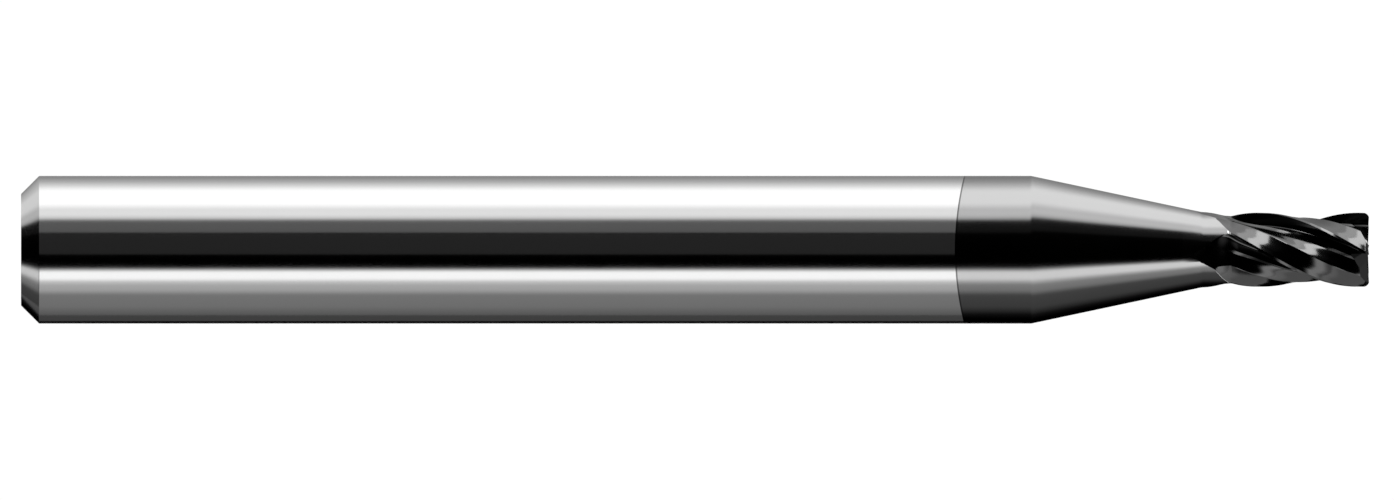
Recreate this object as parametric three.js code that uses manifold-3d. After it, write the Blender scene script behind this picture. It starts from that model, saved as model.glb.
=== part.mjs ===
// Solid-carbide end mill, 6 mm shank, 3 mm cutting diameter, four right-hand flutes, corner radius.
// Units are millimetres. The tool axis is X: the shank's flat end is at x = 0 and the cutting end
// is at +X. Angles about the axis are measured from +Y towards +Z.
import * as THREE from "three";
import Module from "manifold-3d";

const wasm = await Module();
wasm.setup();
const { Manifold, Mesh } = wasm;

// ---- driving dimensions ----
const OVERALL_LENGTH = 54.67;
const SHANK_RADIUS = 3;
const REAR_CHAMFER = 0.73;
const BRIGHT_LENGTH = 37.95; // length of shank left uncoated
const TAPER_START = 40.95;
const TAPER_ANGLE = THREE.MathUtils.degToRad(12);
const HEAD_START = 47.1; // plane between the plain taper and the ground head
const CUTTER_RADIUS = 1.5;
const NECK_RADIUS = 1.53; // plain neck left just behind the lands
const CORNER_RADIUS = 0.235;
const TEETH = 4;
const HELIX_ANGLE = THREE.MathUtils.degToRad(30);
const TIP_EDGE_ANGLE = 10.3; // angle of the first cutting edge at the tip, degrees
const LAND_START = 49.05; // where the relief lands reach full depth
const LAND_RAMP_LENGTH = 0.6; // stretch over which the lands run out
const LAND_RAMP_SLOPE = 0.25; // radial rise per millimetre where the lands run out
const TIP_OVERRUN = 0.3; // how far cutters pass beyond the tip
const CUTTER_REACH = 1.25; // outer size of a flute cutter / radius of the blank
const LAND_CUTTER_RADIUS = 2.2; // outer size of the land cutters
const END_CUTTER_REACH = 1.9; // outer size of the end grinds and gashes
const SURFACE_CLEARANCE = 0.03; // how far a cutter stands off the blank where it runs out
const STATION_STEP = 0.16; // spacing of the sections that follow the helix
const RUNOUT_STEP = 0.13; // the same where a flute runs out
const RAMP_STEP = 0.1; // the same where a land runs out
const CORNER_STEP = 11.25; // degrees between sections round the corner radius
const PITCH_ANGLE = 360 / TEETH;
const TURN_SEGMENTS = 96;
const FACET_TOLERANCE = 0.001; // facets finer than this are merged

// Margin, relief lands and heel as [degrees behind the cutting edge, radius / cutter radius].
const LAND_PROFILE = [
  [8, 1.03],
  [0, 1],
  [-4.5, 0.9985],
  [-14.8, 0.938],
  [-37, 0.877],
  [-46, 0.85],
];

// One flute as [degrees, radius / cutter radius, share of the way across the run-out flat], from
// the rake face of the tooth above, through the gullet, to the back of its own tooth.
const FLUTE_PROFILE = [
  [-90, 1, -0.03],
  [-92.4, 0.84, 0.02],
  [-94.5, 0.71, 0.05],
  [-93.2, 0.65, 0.08],
  [-88.5, 0.62, 0.13],
  [-81.5, 0.635, 0.2],
  [-75.5, 0.67, 0.27],
  [-70.5, 0.71, 0.34],
  [-64, 0.684, 0.43],
  [-49.5, 0.765, 0.62],
  [-37, 0.885, 0.79],
  [-22, 1.04, 1.03],
];

// Where a flute runs out it turns into a flat that narrows to a point on its heel side. Rows are
// [position, angle of the flat's rake side, share of the full flute depth].
const FLUTE_RUNOUT = [
  [47.37, -24, 0],
  [47.8, -38, 0],
  [48.2, -58, 0],
  [48.61, -78, 0],
  [49.01, -90, 0.2],
  [49.4, -90, 0.6],
  [49.8, -90, 0.88],
  [50.2, -90, 1],
];
const RUNOUT_HEEL_ANGLE = -20.5; // angle of the flat's heel side

const END_LAND_WIDTH = 0.45;
const END_LAND_ANGLE = THREE.MathUtils.degToRad(7);
const END_BACK_ANGLE = THREE.MathUtils.degToRad(30);
const DISH_ANGLE = THREE.MathUtils.degToRad(2);
const END_OVERLAP = 0.006; // how far one tooth's end grind passes over the centre line
const GASH_UNDERCUT = 0.012; // how far the gash passes behind the end edge
const GASH_INNER_RADIUS = 0.14;
const GASH_INNER_DEPTH = 0.1;
const GASH_FLOOR_SLOPE = 0.72; // axial drop per millimetre of radius along the gash
const GASH_OPENING = THREE.MathUtils.degToRad(62);

const taperRadius = (x) => SHANK_RADIUS - (x - TAPER_START) * Math.tan(TAPER_ANGLE);
const blankRadius = (x) => Math.max(NECK_RADIUS, taperRadius(x));
const twist = (x) =>
  THREE.MathUtils.radToDeg(((x - OVERALL_LENGTH) * Math.tan(HELIX_ANGLE)) / CUTTER_RADIUS);

// Point at position x, at `angle` degrees about the axis and `radius` away from it.
function polar(x, angle, radius) {
  const a = THREE.MathUtils.degToRad(angle);
  return [x, radius * Math.cos(a), radius * Math.sin(a)];
}

// Row of a table at position x, between the two rows on either side of it.
function interpolate(table, x) {
  const next = table.findIndex(([position]) => x <= position);
  if (next === 0) return table[0];
  if (next === -1) return table.at(-1);
  const [before, after] = [table[next - 1], table[next]];
  const share = (x - before[0]) / (after[0] - before[0]);
  return before.map((value, i) => THREE.MathUtils.lerp(value, after[i], share));
}

function span(from, to, step) {
  const count = Math.max(1, Math.ceil((to - from) / step));
  return Array.from({ length: count + 1 }, (_, i) => from + ((to - from) * i) / count);
}

// Closed solid of revolution about X from a [x, radius] outline whose ends both lie on the axis.
function revolve(outline) {
  const positions = [];
  const rings = outline.map(([x, r]) => {
    const start = positions.length / 3;
    const count = r === 0 ? 1 : TURN_SEGMENTS;
    for (let i = 0; i < count; i += 1) {
      positions.push(...polar(x, (360 * i) / TURN_SEGMENTS, r));
    }
    return { start, count };
  });
  const index = [];
  const at = (ring, i) => ring.start + (i % ring.count);
  for (let k = 1; k < rings.length; k += 1) {
    const [a, b] = [rings[k - 1], rings[k]];
    for (let i = 0; i < TURN_SEGMENTS; i += 1) {
      if (a.count > 1) index.push(at(a, i), at(a, i + 1), at(b, i));
      if (b.count > 1) index.push(at(a, i + 1), at(b, i + 1), at(b, i));
    }
  }
  return { positions, index };
}

// Closed solid through a row of stations that all hold the same number of points.
function loft(stations) {
  const positions = stations.flat(2);
  const count = stations[0].length;
  const index = [];
  for (let k = 1; k < stations.length; k += 1) {
    for (let i = 0; i < count; i += 1) {
      const a = (k - 1) * count + i;
      const b = (k - 1) * count + ((i + 1) % count);
      index.push(a, b, a + count, b, b + count, a + count);
    }
  }
  const { isClockWise, triangulateShape } = THREE.ShapeUtils;
  const capFaces = (station) => {
    const outline = station.map(([, y, z]) => new THREE.Vector2(y, z));
    const turn = isClockWise(outline);
    return triangulateShape(outline, []).map(([a, b, c]) => {
      const sameTurn = isClockWise([outline[a], outline[b], outline[c]]) === turn;
      return sameTurn ? [a, b, c] : [a, c, b];
    });
  };
  capFaces(stations[0]).forEach(([a, b, c]) => index.push(c, b, a));
  const last = (stations.length - 1) * count;
  capFaces(stations.at(-1)).forEach(([a, b, c]) => index.push(last + a, last + b, last + c));
  return { positions, index };
}

function reversed({ positions, index }) {
  const turned = [];
  for (let i = 0; i < index.length; i += 3) turned.push(index[i], index[i + 2], index[i + 1]);
  return { positions, index: turned };
}

function toSolid(shape) {
  const build = ({ positions, index }) => {
    const mesh = new Mesh({
      numProp: 3,
      vertProperties: new Float32Array(positions),
      triVerts: new Uint32Array(index),
    });
    mesh.merge();
    return new Manifold(mesh);
  };
  const solid = build(shape);
  return solid.volume() < 0 ? build(reversed(shape)) : solid;
}

function toGeometry({ positions, index }) {
  const geometry = new THREE.BufferGeometry();
  geometry.setAttribute("position", new THREE.Float32BufferAttribute(positions, 3));
  geometry.setIndex(index);
  const flat = geometry.toNonIndexed();
  flat.computeVertexNormals();
  return flat;
}

// Radius of the cutting edge at x: the full radius, then the rounded corner at the tip.
function edgeRadius(x) {
  const past = x - (OVERALL_LENGTH - CORNER_RADIUS);
  if (past <= 0) return CUTTER_RADIUS;
  const held = Math.min(past, CORNER_RADIUS);
  return CUTTER_RADIUS - CORNER_RADIUS + Math.sqrt(CORNER_RADIUS ** 2 - held ** 2);
}

// Material ground out of the blank to leave one flute.
function fluteCutter(tooth) {
  const { lerp, degToRad } = THREE.MathUtils;
  const start = FLUTE_RUNOUT[0][0];
  const fullDepth = FLUTE_RUNOUT.at(-1)[0];
  const positions = [
    ...span(start, fullDepth, RUNOUT_STEP),
    ...span(fullDepth, OVERALL_LENGTH + TIP_OVERRUN, STATION_STEP).slice(1),
  ];
  const stations = positions.map((x) => {
    const phase = TIP_EDGE_ANGLE + tooth * PITCH_ANGLE + twist(x);
    const [, rakeSide, depth] = interpolate(FLUTE_RUNOUT, x);
    const middle = (rakeSide + RUNOUT_HEEL_ANGLE) / 2;
    const surface = blankRadius(x);
    const flatDistance = surface * Math.cos(degToRad(RUNOUT_HEEL_ANGLE - middle));
    const cut = FLUTE_PROFILE.map(([angle, ratio, share]) => {
      const flatAngle = lerp(rakeSide, RUNOUT_HEEL_ANGLE, share);
      const flatRadius =
        x === start
          ? surface + SURFACE_CLEARANCE
          : flatDistance / Math.cos(degToRad(flatAngle - middle));
      return polar(
        x,
        phase + lerp(flatAngle, angle, depth),
        lerp(flatRadius, CUTTER_RADIUS * ratio, depth),
      );
    });
    const outer = [1, 0.75, 0.5, 0.25, 0].map((share) =>
      polar(x, phase + lerp(rakeSide, RUNOUT_HEEL_ANGLE, share), surface * CUTTER_REACH),
    );
    return [...cut, ...outer];
  });
  return toSolid(loft(stations));
}

// Material ground off behind one cutting edge to leave its two relief lands.
function landCutter(tooth) {
  const cornerStart = OVERALL_LENGTH - CORNER_RADIUS;
  const cornerStations = span(0, 90, CORNER_STEP)
    .slice(1)
    .map((angle) => cornerStart + CORNER_RADIUS * Math.sin(THREE.MathUtils.degToRad(angle)));
  const positions = [
    ...span(LAND_START - LAND_RAMP_LENGTH, LAND_START, RAMP_STEP),
    ...span(LAND_START, cornerStart, STATION_STEP).slice(1),
    ...cornerStations,
    OVERALL_LENGTH + TIP_OVERRUN,
  ];
  const stations = positions.map((x) => {
    const phase = TIP_EDGE_ANGLE + tooth * PITCH_ANGLE + twist(x);
    const rise = Math.max(0, LAND_START - x) * LAND_RAMP_SLOPE;
    const scale = edgeRadius(x);
    const cut = LAND_PROFILE.map(([angle, ratio]) => polar(x, phase + angle, scale * ratio + rise));
    const [front, back] = [LAND_PROFILE[0][0], LAND_PROFILE.at(-1)[0]];
    const outer = [back, (front + back) / 2, front].map((angle) =>
      polar(x, phase + angle, LAND_CUTTER_RADIUS),
    );
    return [...cut, ...outer];
  });
  return toSolid(loft(stations));
}

// Frame of one tooth at the tip: `out` runs along its end edge and `back` runs behind the edge.
function toothFrame(tooth) {
  const angle = TIP_EDGE_ANGLE + tooth * PITCH_ANGLE;
  const [, outY, outZ] = polar(0, angle, 1);
  const [, backY, backZ] = polar(0, angle - 90, 1);
  return (x, out, back) => [x, out * outY + back * backY, out * outZ + back * backZ];
}

// Material ground off the end behind one end edge: a narrow land, then a steeper back, both dished.
function endReliefCutter(tooth) {
  const place = toothFrame(tooth);
  const surface = (out, back) => {
    const land = Math.min(back, END_LAND_WIDTH) * Math.tan(END_LAND_ANGLE);
    const steep = Math.max(0, back - END_LAND_WIDTH) * Math.tan(END_BACK_ANGLE);
    const dish = Math.max(0, CUTTER_RADIUS - out) * Math.tan(DISH_ANGLE);
    return OVERALL_LENGTH - land - steep - dish;
  };
  const roof = OVERALL_LENGTH + TIP_OVERRUN;
  const stations = [-END_OVERLAP, CUTTER_RADIUS, END_CUTTER_REACH].map((out) => [
    place(surface(out, 0), out, 0),
    place(surface(out, END_LAND_WIDTH), out, END_LAND_WIDTH),
    place(surface(out, END_CUTTER_REACH), out, END_CUTTER_REACH),
    place(roof, out, END_CUTTER_REACH),
    place(roof, out, 0),
  ]);
  return prism(stations);
}

// Notch ground in front of one end edge, opening the way from the middle into the flute.
function gashCutter(tooth) {
  const place = toothFrame(tooth);
  const roof = OVERALL_LENGTH + TIP_OVERRUN;
  const stations = [GASH_INNER_RADIUS, END_CUTTER_REACH].map((out) => {
    const depth = GASH_INNER_DEPTH + (out - GASH_INNER_RADIUS) * GASH_FLOOR_SLOPE;
    const floor = OVERALL_LENGTH - depth;
    const width = (roof - floor) * Math.tan(GASH_OPENING);
    return [
      place(floor, out, GASH_UNDERCUT),
      place(roof, out, GASH_UNDERCUT),
      place(roof, out, -width),
    ];
  });
  return prism(stations);
}

// Straight-sided solid through stations whose points need not share one x.
function prism(stations) {
  const count = stations[0].length;
  const ring = stations[0].map((_, i) => polar(0, (360 * i) / count, 1));
  const { index } = loft(stations.map(() => ring));
  return toSolid({ positions: stations.flat(2), index });
}

function cuttingHead() {
  const taperEnd = TAPER_START + (SHANK_RADIUS - NECK_RADIUS) / Math.tan(TAPER_ANGLE);
  const blank = toSolid(
    revolve([
      [HEAD_START, 0],
      [HEAD_START, taperRadius(HEAD_START)],
      [taperEnd, NECK_RADIUS],
      [OVERALL_LENGTH, NECK_RADIUS],
      [OVERALL_LENGTH, 0],
    ]),
  );
  const teeth = Array.from({ length: TEETH }, (_, tooth) => tooth);
  const cutters = teeth.flatMap((tooth) => [
    fluteCutter(tooth),
    landCutter(tooth),
    endReliefCutter(tooth),
    gashCutter(tooth),
  ]);
  const ground = Manifold.difference([blank, ...cutters]);
  const mesh = ground.simplify(FACET_TOLERANCE).getMesh();
  return { positions: Array.from(mesh.vertProperties), index: Array.from(mesh.triVerts) };
}

const root = new THREE.Group();
root.name = "end_mill";

function addPart(name, shape, { color, roughness, metalness }) {
  const material = new THREE.MeshStandardMaterial({ color, roughness, metalness });
  const mesh = new THREE.Mesh(toGeometry(shape), material);
  mesh.name = name;
  root.add(mesh);
}

const GROUND_CARBIDE = { color: 0xb9bcc0, roughness: 0.22, metalness: 1 };
const COATED_CARBIDE = { color: 0x55575c, roughness: 0.3, metalness: 1 };

// Bright ground shank with its rear chamfer.
addPart(
  "shank",
  revolve([
    [0, 0],
    [0, SHANK_RADIUS - REAR_CHAMFER],
    [REAR_CHAMFER, SHANK_RADIUS],
    [BRIGHT_LENGTH, SHANK_RADIUS],
    [BRIGHT_LENGTH, 0],
  ]),
  GROUND_CARBIDE,
);

// Front of the shank, covered by the dark coating.
addPart(
  "coated_collar",
  revolve([
    [BRIGHT_LENGTH, 0],
    [BRIGHT_LENGTH, SHANK_RADIUS],
    [TAPER_START, SHANK_RADIUS],
    [TAPER_START, 0],
  ]),
  COATED_CARBIDE,
);

// Cone from the shank down to the cutting diameter.
addPart(
  "neck_taper",
  revolve([
    [TAPER_START, 0],
    [TAPER_START, SHANK_RADIUS],
    [HEAD_START, taperRadius(HEAD_START)],
    [HEAD_START, 0],
  ]),
  COATED_CARBIDE,
);

// Ground head with its flutes, lands, end edges and gashes.
addPart("cutting_head", cuttingHead(), COATED_CARBIDE);

export default root;
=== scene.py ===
"""Looks for the end mill: ground shank, coated taper and fluted head under banded studio light."""

import math

import bmesh
import bpy
from mathutils import Matrix, Vector
from mathutils.geometry import tessellate_polygon


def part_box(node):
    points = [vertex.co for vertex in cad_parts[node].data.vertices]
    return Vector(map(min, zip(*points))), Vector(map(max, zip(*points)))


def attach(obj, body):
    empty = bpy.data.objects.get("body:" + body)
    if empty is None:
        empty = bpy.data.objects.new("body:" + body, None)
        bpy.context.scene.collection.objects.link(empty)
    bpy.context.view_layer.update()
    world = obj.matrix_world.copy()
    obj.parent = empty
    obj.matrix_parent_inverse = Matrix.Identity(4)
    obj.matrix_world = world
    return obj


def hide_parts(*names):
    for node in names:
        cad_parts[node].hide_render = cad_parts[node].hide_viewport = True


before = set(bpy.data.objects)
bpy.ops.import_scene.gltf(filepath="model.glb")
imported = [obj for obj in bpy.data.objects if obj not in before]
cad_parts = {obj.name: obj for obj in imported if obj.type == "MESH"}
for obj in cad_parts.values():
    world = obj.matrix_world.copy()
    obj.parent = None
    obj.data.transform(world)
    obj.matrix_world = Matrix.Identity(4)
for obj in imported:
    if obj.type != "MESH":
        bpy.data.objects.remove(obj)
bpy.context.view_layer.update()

# ---- places read from the frame, in metres ----
COATING_X, _, SHANK_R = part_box("shank")[1]
TAPER_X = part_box("coated_collar")[1][0]
HEAD_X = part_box("cutting_head")[0][0]
TIP_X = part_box("cutting_head")[1][0]

# ---- the tool's own dimensions; angles round the tool are from +Y towards +Z ----
MM = 0.001
CUTTER_R = 1.5 * MM
NECK_R = 1.53 * MM
CORNER_R = 0.235 * MM
REAR_CHAMFER = 0.73 * MM
TAPER = math.radians(12)
CHAMFER_ROUND = 0.03 * MM
TAPER_ROUND = 0.5 * MM
NECK_ROUND = 0.8 * MM
COATING_LINE_X = COATING_X - 0.094 * MM  # where the coating starts on the camera side
COATING_LINE_BOW = 0.373 * MM  # how much nearer the tip it starts at the top and bottom
COATING_EDGE_WIDTH = 0.08 * MM
SHANK_SPLIT_X = REAR_CHAMFER + 0.3 * MM  # where the rear end becomes a piece of its own

TEETH = 4
PITCH = 360 / TEETH
HELIX = math.radians(30)
TIP_EDGE_ANGLE = 10.3  # degrees, first cutting edge at the tip

# [degrees behind the cutting edge, radius / cutter radius]
LAND_PROFILE = [(8, 1.03), (0, 1), (-4.5, 0.9985), (-14.8, 0.938), (-37, 0.877), (-46, 0.85)]
LAND_START = TIP_X - 5.61 * MM  # where the lands reach full depth
LAND_RAMP = 0.6 * MM
LAND_RAMP_SLOPE = 0.25

# [degrees, radius / cutter radius, share of the way across the flat where the flute runs out]
FLUTE_PROFILE = [
    (-90, 1, -0.03),
    (-92.4, 0.84, 0.02),
    (-94.5, 0.71, 0.05),
    (-93.2, 0.65, 0.08),
    (-88.5, 0.62, 0.13),
    (-81.5, 0.635, 0.2),
    (-75.5, 0.67, 0.27),
    (-70.5, 0.71, 0.34),
    (-64, 0.684, 0.43),
    (-49.5, 0.765, 0.62),
    (-37, 0.885, 0.79),
    (-22, 1.04, 1.03),
]
FLUTE_CREASES = {0, 7, 8}  # profile points that stay sharp

# (distance from the tip in millimetres, rake-side angle, share of the full flute depth)
FLUTE_RUNOUT = [
    (7.3, -24, 0),
    (6.87, -38, 0),
    (6.47, -58, 0),
    (6.06, -78, 0),
    (5.66, -90, 0.2),
    (5.27, -90, 0.6),
    (4.87, -90, 0.88),
    (4.47, -90, 1),
]
FLUTE_HEEL_ANGLE = -20.5  # back edge of the flat where a flute runs out

END_LAND_WIDTH = 0.45 * MM
END_LAND_ANGLE = math.radians(7)
END_BACK_ANGLE = math.radians(30)
DISH_ANGLE = math.radians(2)
END_OVERLAP = 0.006 * MM  # how far one tooth's end grind passes over the centre line
GASH_UNDERCUT = 0.012 * MM  # how far the gash passes behind the end edge
GASH_INNER = 0.14 * MM
GASH_INNER_DEPTH = 0.1 * MM
GASH_SLOPE = 0.72  # axial drop along the gash for each unit of radius
GASH_OPENING = math.radians(62)

# ---- sizes of the cutting shapes, and how fine the meshes are ----
OVERRUN = 0.3 * MM  # how far the cutting shapes pass the tip
BLANK_OVERRUN = 0.1 * MM
SURFACE_CLEARANCE = 0.03 * MM
FLUTE_CUTTER_REACH = 1.25  # outer size of a flute's cutting shape / radius of the blank
LAND_CUTTER_R = 2.2 * MM
END_CUTTER_REACH = 1.9 * MM
TURN_SEGMENTS = 256
STATION_STEP = 0.05 * MM
FLUTE_STEPS = 5  # mesh rows between two flute profile points
LAND_STEPS = 3
ROUND_STEPS = 5
CORNER_STEP = 6  # degrees
TURNED_STEP = 0.5 * MM
SHANK_STEP = 2 * MM
WELD = 1e-7
TURNED_CREASE = 30  # degrees between faces from which an edge stays crisp
GROUND_CREASE = 12


def lerp(a, b, t):
    return a + (b - a) * t


def hermite(start, end, slope_in, slope_out, t):
    """Smooth curve from `start` to `end`; the slopes are for the whole stretch."""
    return (
        (2 * t**3 - 3 * t**2 + 1) * start
        + (t**3 - 2 * t**2 + t) * slope_in
        + (-2 * t**3 + 3 * t**2) * end
        + (t**3 - t**2) * slope_out
    )


def smooth_table(table, x):
    """Value at x of a smooth curve through a table of (rising x, value)."""
    xs, ys = zip(*table)
    if x <= xs[0]:
        return ys[0]
    if x >= xs[-1]:
        return ys[-1]
    i = next(k for k in range(1, len(xs)) if x <= xs[k])
    length = xs[i] - xs[i - 1]

    def slope(k):
        if k in (0, len(xs) - 1):
            return 0.0
        return (ys[k + 1] - ys[k - 1]) / (xs[k + 1] - xs[k - 1])

    share = (x - xs[i - 1]) / length
    return hermite(ys[i - 1], ys[i], length * slope(i - 1), length * slope(i), share)


def dense_profile(profile, creases, steps):
    """Adds rounded points between profile rows and keeps the rows named in `creases` sharp."""
    rows = [profile[0]]
    last = len(profile) - 1
    for i in range(last):
        start, end = profile[i], profile[i + 1]
        before = profile[i - 1] if i > 0 and i not in creases else None
        after = profile[i + 2] if i + 2 <= last and i + 1 not in creases else None
        for step in range(1, steps + 1):
            row = []
            for c, (a, b) in enumerate(zip(start, end)):
                slope_in = (b - before[c]) / 2 if before else b - a
                slope_out = (after[c] - a) / 2 if after else b - a
                row.append(hermite(a, b, slope_in, slope_out, step / steps))
            rows.append(tuple(row))
    return rows


def span(start, end, step):
    """Even places from `start` to `end`, no further than `step` apart."""
    count = max(1, math.ceil((end - start) / step))
    return [lerp(start, end, i / count) for i in range(count + 1)]


def polar(x, angle, radius):
    """Point at `x`, `angle` degrees round the tool and `radius` away from its axis."""
    a = math.radians(angle)
    return (x, radius * math.cos(a), radius * math.sin(a))


def taper_radius(x):
    return SHANK_R - (x - TAPER_X) * math.tan(TAPER)


def blank_radius(x):
    return max(NECK_R, taper_radius(x))


def twist(x):
    return math.degrees((x - TIP_X) * math.tan(HELIX) / CUTTER_R)


def edge_radius(x):
    """Radius of the cutting edge: full size, then the rounded corner at the tip."""
    past = x - (TIP_X - CORNER_R)
    if past <= 0:
        return CUTTER_R
    held = min(past, CORNER_R)
    return CUTTER_R - CORNER_R + math.sqrt(CORNER_R**2 - held**2)


# ---- mesh tools ----
def new_object(name, points, faces):
    """Mesh object with its faces pointing out."""
    mesh = bpy.data.meshes.new(name)
    mesh.from_pydata(points, [], faces)
    mesh.validate()
    obj = bpy.data.objects.new(name, mesh)
    bpy.context.scene.collection.objects.link(obj)
    bm = bmesh.new()
    bm.from_mesh(mesh)
    bmesh.ops.recalc_face_normals(bm, faces=bm.faces)
    bm.to_mesh(mesh)
    bm.free()
    return obj


def revolve(name, outline):
    """Closed turned solid about X from (x, radius) points that start and end on the axis.

    A third number bows its ring: x grows by that much at the top and bottom of the tool.
    """
    points, faces, rings = [], [], []
    for x, r, *bow in outline:
        count = 1 if r == 0 else TURN_SEGMENTS
        rings.append((len(points), count))
        for i in range(count):
            turn = 360 * i / TURN_SEGMENTS
            points.append(polar(x + sum(bow) * math.sin(math.radians(turn)) ** 2, turn, r))
    for (a, count_a), (b, count_b) in zip(rings, rings[1:]):
        for i in range(TURN_SEGMENTS):
            j = (i + 1) % TURN_SEGMENTS
            if count_a == 1:
                faces.append((a, b + i, b + j))
            elif count_b == 1:
                faces.append((a + i, b, a + j))
            else:
                faces.append((a + i, b + i, b + j, a + j))
    return new_object(name, points, faces)


def loft(name, stations, concave_ends=True):
    """Closed solid through stations that hold the same number of points.

    End faces with a concave outline are cut into triangles, and others are left whole.
    """
    count = len(stations[0])
    points = [point for station in stations for point in station]
    faces = []
    for b in range(count, len(points), count):
        a = b - count
        for i in range(count):
            j = (i + 1) % count
            faces += [(a + i, a + j, b + i), (a + j, b + j, b + i)]
    for first in (0, len(points) - count):
        ring = range(first, first + count)
        if concave_ends:
            outline = [Vector((points[i][1], points[i][2], 0)) for i in ring]
            faces += [tuple(ring[i] for i in triangle) for triangle in tessellate_polygon([outline])]
        else:
            faces.append(tuple(ring))
    return new_object(name, points, faces)


def cut(target, cutter):
    """Takes the cutter's shape out of the target and deletes the cutter."""
    modifier = target.modifiers.new("cut", "BOOLEAN")
    modifier.operation = "DIFFERENCE"
    modifier.solver = "MANIFOLD"
    modifier.object = cutter
    depsgraph = bpy.context.evaluated_depsgraph_get()
    mesh = bpy.data.meshes.new_from_object(target.evaluated_get(depsgraph))
    target.modifiers.clear()
    spent = (target.data, cutter.data)
    target.data = mesh
    bpy.data.objects.remove(cutter)
    for old in spent:
        bpy.data.meshes.remove(old)


def shade(obj, crease):
    """Joins doubled points, drops loose ones, and smooths all but edges of `crease` degrees or more."""
    bm = bmesh.new()
    bm.from_mesh(obj.data)
    bmesh.ops.remove_doubles(bm, verts=bm.verts, dist=WELD)
    bmesh.ops.delete(bm, geom=[edge for edge in bm.edges if edge.is_wire], context="EDGES")
    bmesh.ops.delete(bm, geom=[vert for vert in bm.verts if not vert.link_faces], context="VERTS")
    for face in bm.faces:
        face.smooth = True
    for edge in bm.edges:
        edge.smooth = len(edge.link_faces) == 2 and edge.calc_face_angle(0) < math.radians(crease)
    bm.to_mesh(obj.data)
    bm.free()


def round_corner(x, r, radius, start, end):
    """Outline points round a corner at (x, r); start and end are outline headings in degrees."""
    turn = math.radians(end - start)
    heading = math.radians(start)
    reach = radius * math.tan(abs(turn) / 2)
    swing = math.copysign(radius, turn)
    centre_x = x - reach * math.cos(heading) - swing * math.sin(heading)
    centre_r = r - reach * math.sin(heading) + swing * math.cos(heading)
    angles = [heading + turn * i / ROUND_STEPS for i in range(ROUND_STEPS + 1)]
    return [(centre_x + swing * math.sin(a), centre_r - swing * math.cos(a)) for a in angles]


# ---- shank and collar ----
def make_shank_end():
    """Rear end with its chamfer, a piece of its own so that the back card can leave it dark."""
    obj = revolve(
        "shank_end",
        [(0, 0)]
        + round_corner(0, SHANK_R - REAR_CHAMFER, CHAMFER_ROUND, 90, 45)
        + round_corner(REAR_CHAMFER, SHANK_R, CHAMFER_ROUND, 45, 0)
        + [(SHANK_SPLIT_X, SHANK_R), (SHANK_SPLIT_X, 0)],
    )
    shade(obj, TURNED_CREASE)
    return obj


def make_shank():
    obj = revolve(
        "shank_body",
        [(SHANK_SPLIT_X, 0)]
        + [(x, SHANK_R) for x in span(SHANK_SPLIT_X, COATING_X - SHANK_STEP, SHANK_STEP)]
        + [(COATING_LINE_X, SHANK_R, COATING_LINE_BOW), (COATING_LINE_X, 0)],
    )
    shade(obj, TURNED_CREASE)
    return obj


def make_collar():
    """Coated front of the shank, and the taper up to the head."""
    obj = revolve(
        "collar_body",
        [(COATING_LINE_X, 0), (COATING_LINE_X, SHANK_R, COATING_LINE_BOW)]
        + round_corner(TAPER_X, SHANK_R, TAPER_ROUND, 0, -math.degrees(TAPER))
        + [(x, taper_radius(x)) for x in span(TAPER_X + TURNED_STEP, HEAD_X, TURNED_STEP)]
        + [(HEAD_X, 0)],
    )
    shade(obj, TURNED_CREASE)
    return obj


# ---- fluted head ----
def make_head_blank():
    neck_x = TAPER_X + (SHANK_R - NECK_R) / math.tan(TAPER)
    return revolve(
        "head_body",
        [(HEAD_X, 0), (HEAD_X, taper_radius(HEAD_X))]
        + round_corner(neck_x, NECK_R, NECK_ROUND, -math.degrees(TAPER), 0)
        + [(TIP_X + BLANK_OVERRUN, NECK_R), (TIP_X + BLANK_OVERRUN, 0)],
    )


def flute_cutter(tooth):
    """Metal ground out of the blank to leave one flute."""
    rake_table = [(TIP_X - distance * MM, rake) for distance, rake, _ in FLUTE_RUNOUT]
    depth_table = [(TIP_X - distance * MM, depth) for distance, _, depth in FLUTE_RUNOUT]
    profile = dense_profile(FLUTE_PROFILE, FLUTE_CREASES, FLUTE_STEPS)
    start = rake_table[0][0]
    stations = []
    for x in span(start, TIP_X + OVERRUN, STATION_STEP):
        phase = TIP_EDGE_ANGLE + tooth * PITCH + twist(x)
        depth = smooth_table(depth_table, x)
        rake = smooth_table(rake_table, x)
        middle = (rake + FLUTE_HEEL_ANGLE) / 2
        surface = blank_radius(x)
        flat = surface * math.cos(math.radians(FLUTE_HEEL_ANGLE - middle))
        station = []
        for angle, ratio, share in profile:
            across = lerp(rake, FLUTE_HEEL_ANGLE, share)
            flat_radius = flat / math.cos(math.radians(across - middle))
            if x == start:
                flat_radius = surface + SURFACE_CLEARANCE
            radius = lerp(flat_radius, CUTTER_R * ratio, depth)
            station.append(polar(x, phase + lerp(across, angle, depth), radius))
        for share in (1, 0.75, 0.5, 0.25, 0):
            across = lerp(rake, FLUTE_HEEL_ANGLE, share)
            station.append(polar(x, phase + across, surface * FLUTE_CUTTER_REACH))
        stations.append(station)
    return loft("flute_cutter", stations)


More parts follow.
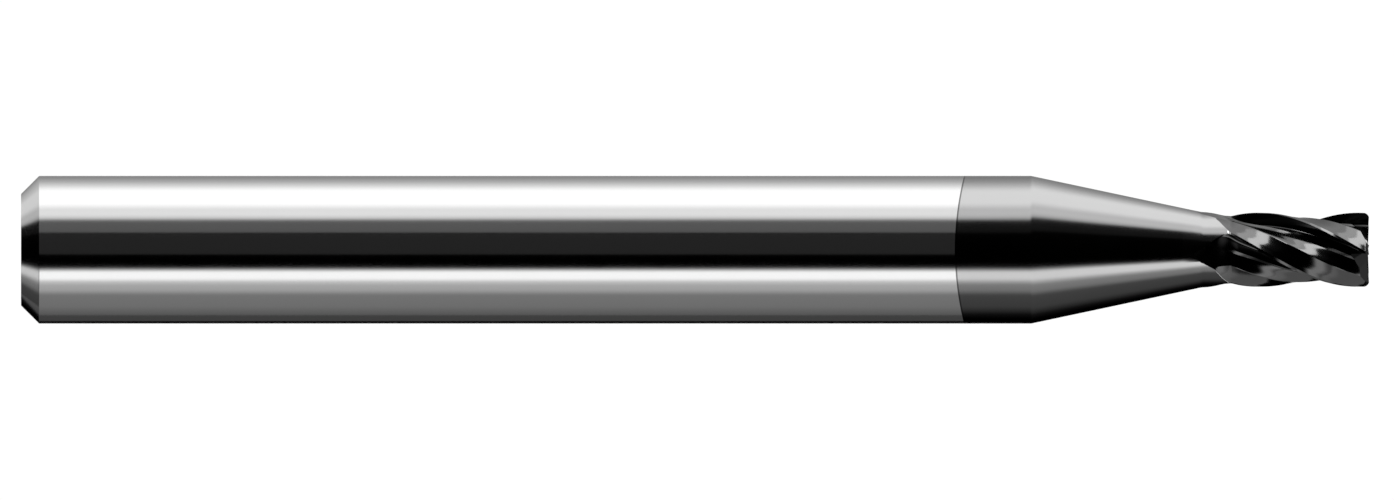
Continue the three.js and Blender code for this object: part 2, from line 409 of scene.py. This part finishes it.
def land_cutter(tooth):
    """Metal ground off behind one cutting edge to leave its relief lands."""
    corner = TIP_X - CORNER_R
    xs = span(LAND_START - LAND_RAMP, LAND_START, STATION_STEP)
    xs += span(LAND_START, corner, STATION_STEP)[1:]
    for angle in range(CORNER_STEP, 90 + CORNER_STEP, CORNER_STEP):
        xs.append(corner + CORNER_R * math.sin(math.radians(angle)))
    xs.append(TIP_X + OVERRUN)
    front, back = LAND_PROFILE[0][0], LAND_PROFILE[-1][0]
    stations = []
    for x in xs:
        phase = TIP_EDGE_ANGLE + tooth * PITCH + twist(x)
        rise = max(0, LAND_START - x) * LAND_RAMP_SLOPE
        scale = edge_radius(x)
        corners = [Vector(polar(x, phase + a, scale * ratio + rise)) for a, ratio in LAND_PROFILE]
        station = []
        for start, end in zip(corners, corners[1:]):
            station += [tuple(start.lerp(end, i / LAND_STEPS)) for i in range(LAND_STEPS)]
        station.append(tuple(corners[-1]))
        for angle in (back, (front + back) / 2, front):
            station.append(polar(x, phase + angle, LAND_CUTTER_R))
        stations.append(station)
    return loft("land_cutter", stations)


def tooth_frame(tooth):
    """Places a point at x, `out` along the tooth's end edge and `back` behind it."""
    angle = math.radians(TIP_EDGE_ANGLE + tooth * PITCH)
    along = (math.cos(angle), math.sin(angle))
    behind = (math.sin(angle), -math.cos(angle))
    return lambda x, out, back: (
        x,
        out * along[0] + back * behind[0],
        out * along[1] + back * behind[1],
    )


def end_relief_cutter(tooth):
    """Metal ground off the end behind one end edge: a narrow land, then a steeper back."""
    place = tooth_frame(tooth)
    roof = TIP_X + OVERRUN

    def surface(out, back):
        land = min(back, END_LAND_WIDTH) * math.tan(END_LAND_ANGLE)
        steep = max(0, back - END_LAND_WIDTH) * math.tan(END_BACK_ANGLE)
        dish = max(0, CUTTER_R - out) * math.tan(DISH_ANGLE)
        return TIP_X - land - steep - dish

    stations = [
        [
            place(surface(out, 0), out, 0),
            place(surface(out, END_LAND_WIDTH), out, END_LAND_WIDTH),
            place(surface(out, END_CUTTER_REACH), out, END_CUTTER_REACH),
            place(roof, out, END_CUTTER_REACH),
            place(roof, out, 0),
        ]
        for out in (-END_OVERLAP, CUTTER_R, END_CUTTER_REACH)
    ]
    return loft("end_relief_cutter", stations, concave_ends=False)


def gash_cutter(tooth):
    """Notch ground in front of one end edge, from the middle into the flute."""
    place = tooth_frame(tooth)
    roof = TIP_X + OVERRUN
    stations = []
    for out in (GASH_INNER, END_CUTTER_REACH):
        floor = TIP_X - GASH_INNER_DEPTH - (out - GASH_INNER) * GASH_SLOPE
        width = (roof - floor) * math.tan(GASH_OPENING)
        stations.append(
            [
                place(floor, out, GASH_UNDERCUT),
                place(roof, out, GASH_UNDERCUT),
                place(roof, out, -width),
            ]
        )
    return loft("gash_cutter", stations, concave_ends=False)


def make_head():
    obj = make_head_blank()
    for cutter in (flute_cutter, land_cutter, end_relief_cutter, gash_cutter):
        for tooth in range(TEETH):
            cut(obj, cutter(tooth))
    shade(obj, GROUND_CREASE)
    return obj


# ---- materials ----
GRIND_LINES = (60000, 600, 600)  # noise scale: fine along the tool, so lines run round it
END_GRIND_LINES = (900, 60000, 600)
GRIND_DEPTH = 0.01 * MM
BLANK_SHADE_DEPTHS = (0.005 * MM, 0.012 * MM)  # depth below the blank over which the painted shade sets in
RAKE_SHADE_FACING = (-0.35, -0.15)  # how far rake faces turn towards the shank, from full painted shade to none
REAR_FACING = -0.99  # faces that look back more squarely than this are the rear face
LINE_NOISE = {"Scale": 1.0, "Detail": 6.0, "Roughness": 0.65}
PATCH_NOISE = {"Scale": 900.0, "Detail": 4.0}
GLOSS_CHANGE = 0.15  # share by which the patches change the roughness
FULL = (0.0, 1.0)


def add_node(tree, kind, inputs, **settings):
    """New node; each of its inputs is a value or another node's output."""
    node = tree.nodes.new("ShaderNode" + kind)
    for name, value in settings.items():
        setattr(node, name, value)
    for name, value in inputs.items():
        if isinstance(value, bpy.types.NodeSocket):
            tree.links.new(value, node.inputs[name])
        else:
            node.inputs[name].default_value = value
    return node


def calculate(tree, operation, *values):
    return add_node(tree, "Math", dict(enumerate(values)), operation=operation).outputs["Value"]


def map_range(tree, value, source, target, kind="LINEAR"):
    inputs = {"Value": value, "From Min": source[0], "From Max": source[1]}
    inputs.update({"To Min": target[0], "To Max": target[1]})
    return add_node(tree, "MapRange", inputs, interpolation_type=kind).outputs["Result"]


def scale_colour(tree, colour, share):
    node = add_node(tree, "VectorMath", {0: colour, "Scale": share}, operation="SCALE")
    return node.outputs["Vector"]


def axes_of(tree, vector):
    return add_node(tree, "SeparateXYZ", {"Vector": vector}).outputs


def metal(name, tone, roughness, contrast, lines=GRIND_LINES, relief=0.1):
    """Ground metal: fine grinding lines, with slight changes of tone and gloss."""
    material = bpy.data.materials.new(name)
    material.use_nodes = True
    tree = material.node_tree
    shader = tree.nodes["Principled BSDF"]
    shader.inputs["Metallic"].default_value = 1.0
    place = add_node(tree, "TexCoord", {}).outputs["Object"]
    stretched = add_node(tree, "Mapping", {"Vector": place, "Scale": lines}).outputs["Vector"]
    height = add_node(tree, "TexNoise", {"Vector": stretched, **LINE_NOISE}).outputs["Fac"]
    bump = add_node(tree, "Bump", {"Height": height, "Strength": relief, "Distance": GRIND_DEPTH})
    patches = add_node(tree, "TexNoise", {"Vector": place, **PATCH_NOISE}).outputs["Fac"]
    gloss_range = (roughness * (1 - GLOSS_CHANGE), roughness * (1 + GLOSS_CHANGE))
    gloss = map_range(tree, patches, FULL, gloss_range)
    shift = map_range(tree, height, FULL, (1 - contrast, 1 + contrast))
    tree.links.new(bump.outputs["Normal"], shader.inputs["Normal"])
    tree.links.new(gloss, shader.inputs["Roughness"])
    tree.links.new(scale_colour(tree, (tone, tone, tone), shift), shader.inputs["Base Color"])
    return material


def multiply_colour(material, share):
    """Scales the base colour of a material by a socket."""
    tree = material.node_tree
    colour = tree.nodes["Principled BSDF"].inputs["Base Color"]
    tree.links.new(scale_colour(tree, colour.links[0].from_socket, share), colour)


def darken_coating_edge(material, share):
    """Thin dark line where the coating starts."""
    tree = material.node_tree
    place = axes_of(tree, add_node(tree, "TexCoord", {}).outputs["Object"])
    squared = calculate(tree, "MULTIPLY", place["Z"], place["Z"])
    line = calculate(tree, "MULTIPLY_ADD", squared, -COATING_LINE_BOW / SHANK_R**2, place["X"])
    start = COATING_LINE_X + COATING_EDGE_WIDTH / 2
    end = COATING_LINE_X + COATING_EDGE_WIDTH
    multiply_colour(material, map_range(tree, line, (start, end), (share, 1)))


def paint_shade_on_ground_faces(material, ground_shade_share, rake_shade_share):
    """Paints shade into the colour: faces ground below the blank are darker, and rake faces, which face
    the shank, darkest.
    """
    tree = material.node_tree
    coords = add_node(tree, "TexCoord", {}).outputs
    place = axes_of(tree, coords["Object"])
    flat = add_node(tree, "VectorMath", {0: coords["Object"], 1: (0, 1, 1)}, operation="MULTIPLY")
    radius = add_node(tree, "VectorMath", {0: flat.outputs["Vector"]}, operation="LENGTH")
    cone = calculate(tree, "MULTIPLY_ADD", place["X"], -math.tan(TAPER), taper_radius(0))
    blank = calculate(tree, "MAXIMUM", cone, NECK_R)
    depth = calculate(tree, "SUBTRACT", blank, radius.outputs["Value"])
    # painted shade: darker below the blank, darkest on faces turned towards the shank
    below = map_range(tree, depth, BLANK_SHADE_DEPTHS, (1, ground_shade_share))
    rake = map_range(tree, axes_of(tree, coords["Normal"])["X"], RAKE_SHADE_FACING, (rake_shade_share, 1))
    multiply_colour(material, calculate(tree, "MULTIPLY", below, rake))


def make_end_ground():
    """Duller, coarser grind of the flat rear face."""
    name = "end_ground_carbide"
    material = metal(name, tone=0.6, roughness=0.45, contrast=0.06, lines=END_GRIND_LINES, relief=0.3)
    material.node_tree.nodes["Principled BSDF"].inputs["Metallic"].default_value = 0.6
    return material


# ---- the pieces ----
shank = make_shank()
shank_end = make_shank_end()
collar = make_collar()
head = make_head()

ground = metal("ground_carbide", tone=0.78, roughness=0.12, contrast=0.02)
coated = metal("coated_carbide", tone=0.5, roughness=0.13, contrast=0.03)
darken_coating_edge(coated, share=0.35)
coated_head = metal("coated_head", tone=0.5, roughness=0.13, contrast=0.03)
# painted shade on the ground faces of the head, darkest on the rake faces
paint_shade_on_ground_faces(coated_head, ground_shade_share=0.24, rake_shade_share=0.08)

for obj, material, slot_name, cad_nodes in (
    (shank, ground, "ground_carbide", ["shank"]),
    (shank_end, ground, "ground_carbide", ["shank"]),
    (collar, coated, "coated_carbide", ["coated_collar", "neck_taper"]),
    (head, coated_head, "coated_carbide", ["cutting_head"]),
):
    obj.data.materials.clear()
    obj.data.materials.append(material)
    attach(obj, "root")
    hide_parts(*cad_nodes)

shank_end.data.materials.append(make_end_ground())
for face in shank_end.data.polygons:
    if face.normal.x < REAR_FACING:
        face.material_index = 1

# ---- studio world ----
# Long strips of light and dark run parallel to the tool. Each row is (degrees round the tool from
# the camera side, upwards positive; brightness).
STRIPS = [
    (-180, 1.0),
    (-165, 0.0),
    (-135, 0.0),
    (-120, 0.008),
    (-109, 0.044),
    (-100, 0.08),
    (-75, 0.1),
    (-66, 0.32),
    (-56, 0.38),
    (-51, 0.68),
    (-46, 1.2),
    (-35, 1.22),
    (-31.8, 0.5),
    (-29, 0.1),
    (-27, 0.0),
    (25, 0.0),
    (28, 0.01),
    (43, 0.012),
    (46, 0.04),
    (50, 0.7),
    (56, 0.95),
    (66, 0.92),
    (72, 1.15),
    (77, 1.33),
    (103, 1.33),
    (108, 1.22),
    (119, 0.84),
    (132, 0.52),
    (150, 0.31),
    (168, 0.27),
    (180, 1.0),
]
PEAK = max(level for _, level in STRIPS)
STRIP_SINK = 0.08  # how much lower the strips lie towards the tip's side
STRIP_SPREAD = 0.28  # how much further away they are there
BEYOND_TIP = 0.18  # brightness of the plain grey beyond the tip
BACKDROP = 1.02
# Each fade is (where it starts, where it ends, level it reaches) along one measure of direction.
REAR_FADE = (-0.3, -0.6, 0.58)
TIP_FADE = (0.6, 0.75, 0.0)
BACKDROP_FADE = (0.985, 0.998, 0.0)
# A black flag hides the strips from low in front of the shank end.
FLAG_HEIGHT_FADE = (-0.55, -0.35, 0.0)
FLAG_SIDE_FADE = (-0.28, -0.12, 0.0)
FLAG_TILT = 0.5
FLAG_DARKNESS = 0.95


def make_strips(tree, direction):
    """Colour of the strips in a direction, as a share of the peak brightness."""
    sideways = calculate(tree, "MAXIMUM", direction["X"], 0.0)
    sink = calculate(tree, "MULTIPLY", sideways, STRIP_SINK)
    upward = calculate(tree, "SUBTRACT", direction["Z"], sink)
    spread = calculate(tree, "MULTIPLY_ADD", sideways, STRIP_SPREAD, 1.0)
    forward = calculate(tree, "SUBTRACT", spread, direction["Y"])
    angle = calculate(tree, "ARCTAN2", upward, forward)
    share = calculate(tree, "MULTIPLY_ADD", angle, 1 / math.pi, 0.5)
    ramp = add_node(tree, "ValToRGB", {"Fac": share})
    stops = ramp.color_ramp.elements
    for i, (degrees, level) in enumerate(STRIPS):
        position = (degrees + 180) / 360
        if i in (0, len(STRIPS) - 1):
            stop = stops[-1 if i else 0]
        else:
            stop = stops.new(position)
        stop.position = position
        stop.color = (level / PEAK, level / PEAK, level / PEAK, 1)
    return ramp.outputs["Color"]


def fade(tree, value, start, end, level):
    """1 up to `start`, changing smoothly to `level` at `end`."""
    return map_range(tree, value, (start, end), (1.0, level), kind="SMOOTHSTEP")


def blend(tree, colour, level, weight):
    """`colour` where `weight` is 1, plain grey of brightness `level` where it is 0."""
    grey = (level / PEAK, level / PEAK, level / PEAK, 1)
    inputs = {"Color1": grey, "Fac": weight, "Color2": colour}
    return add_node(tree, "MixRGB", inputs).outputs["Color"]


def make_world():
    """Strips that dim towards the ends, a black flag, the view beyond the tip and the backdrop."""
    world = bpy.data.worlds.new("studio")
    bpy.context.scene.world = world
    world.use_nodes = True
    tree = world.node_tree
    direction = axes_of(tree, add_node(tree, "TexCoord", {}).outputs["Generated"])
    strips = make_strips(tree, direction)
    low_front = calculate(tree, "MULTIPLY_ADD", direction["Y"], FLAG_TILT, direction["Z"])
    flag_height = fade(tree, low_front, *FLAG_HEIGHT_FADE)
    flag_side = fade(tree, direction["X"], *FLAG_SIDE_FADE)
    flag = calculate(tree, "MULTIPLY", flag_height, flag_side)
    unflagged = calculate(tree, "MULTIPLY_ADD", flag, -FLAG_DARKNESS, 1.0)
    dimming = calculate(tree, "MULTIPLY", fade(tree, direction["X"], *REAR_FADE), unflagged)
    product = {"Fac": 1.0, "Color1": strips, "Color2": dimming}
    dimmed = add_node(tree, "MixRGB", product, blend_type="MULTIPLY").outputs["Color"]
    beyond_tip = blend(tree, dimmed, BEYOND_TIP, fade(tree, direction["X"], *TIP_FADE))
    view = blend(tree, beyond_tip, BACKDROP, fade(tree, direction["Y"], *BACKDROP_FADE))
    background = tree.nodes["Background"]
    background.inputs["Strength"].default_value = PEAK
    tree.links.new(view, background.inputs["Color"])


make_world()


# ---- lamps ----
def area_light(name, targets, rotation, location, width, height, brightness):
    """Soft rectangle that lights only the pieces in `targets` and is never seen directly."""
    lamp = bpy.data.lights.new(name, "AREA")
    lamp.shape = "RECTANGLE"
    lamp.size = width
    lamp.size_y = height
    lamp.energy = brightness * math.pi * width * height
    obj = bpy.data.objects.new(name, lamp)
    bpy.context.scene.collection.objects.link(obj)
    obj.matrix_world = rotation.to_4x4()
    obj.location = location
    obj.visible_camera = False
    receivers = bpy.data.collections.new(name + "_targets")
    for target in targets:
        receivers.objects.link(target)
    obj.light_linking.receiver_collection = receivers


def strip_light(name, targets, reach, distance, start, end, brightness):
    """Strip along the tool over the x range `reach`, from `start` to `end` degrees round it."""
    middle = math.radians(start + end) / 2
    height = 2 * distance * math.tan(math.radians(end - start) / 2)
    away = Vector((0, -math.cos(middle), math.sin(middle)))
    along = Vector((1, 0, 0))
    rotation = Matrix((along, away.cross(along), away)).transposed()
    location = away * distance + along * sum(reach) / 2
    area_light(name, targets, rotation, location, reach[1] - reach[0], height, brightness)


SHANK_PIECES = [shank, shank_end]
SHANK_REACH = (-40 * MM, 80 * MM)
SHANK_DISTANCE = 50 * MM
HEAD_REACH = (TIP_X - 4.7 * MM, TIP_X + 6 * MM)
HEAD_DISTANCE = 6 * MM
for name, start, end, brightness in (
    ("shank_low", -122, -52, 0.115),
    ("shank_under", -146, -122, 0.06),
    ("shank_front", -7, 24, 0.02),
    ("shank_high", 26, 46, 0.1),
):
    strip_light(name, SHANK_PIECES, SHANK_REACH, SHANK_DISTANCE, start, end, brightness)
for name, start, end, brightness in (
    ("head_key", 44, 64, 3.3),
    ("head_mid", 64, 82, 1.0),
    ("head_low", -118, -58, 0.45),
):
    strip_light(name, [head], HEAD_REACH, HEAD_DISTANCE, start, end, brightness)

# Card behind the rear end, seen in the cylinders only from in front of the tip.
FACING_TIP = Matrix(((0, 0, -1), (1, 0, 0), (0, 1, 0)))
CARD_PLACE = Vector((-100 * MM, 0, 9 * MM))
CARD_WIDTH = 22 * MM
CARD_HEIGHT = 14 * MM
area_light("back_card", [shank, collar], FACING_TIP, CARD_PLACE, CARD_WIDTH, CARD_HEIGHT, 0.6)

# ---- floor ----
FLOOR_SIZE = 2.0
FLOOR_GAP = 0.02 * MM
floor_place = (TIP_X / 2, 0, -SHANK_R - FLOOR_GAP)
bpy.ops.mesh.primitive_plane_add(size=FLOOR_SIZE, location=floor_place)
floor = bpy.context.object
floor.name = "floor"
floor.visible_glossy = False
paper = bpy.data.materials.new("floor_paper")
paper.use_nodes = True
paper_shader = paper.node_tree.nodes["Principled BSDF"]
paper_shader.inputs["Base Color"].default_value = (0.9, 0.9, 0.9, 1)
paper_shader.inputs["Roughness"].default_value = 0.9
floor.data.materials.append(paper)

# ---- camera: level, square on to the tool ----
VIEW_WIDTH = 56.514 * MM
VIEW_CENTRE_X = 27.405 * MM
VIEW_CENTRE_Z = -0.01 * MM
CAMERA_DISTANCE = 0.4
camera = bpy.data.objects.new("camera", bpy.data.cameras.new("camera"))
bpy.context.scene.collection.objects.link(camera)
camera.data.type = "ORTHO"
camera.data.ortho_scale = VIEW_WIDTH
camera.location = (VIEW_CENTRE_X, -CAMERA_DISTANCE, VIEW_CENTRE_Z)
camera.rotation_euler = (math.radians(90), 0, 0)
camera.data.clip_start = 0.01
camera.data.clip_end = 10
bpy.context.scene.camera = camera
bpy.context.scene.view_settings.view_transform = "Standard"

bpy.context.view_layer.update()
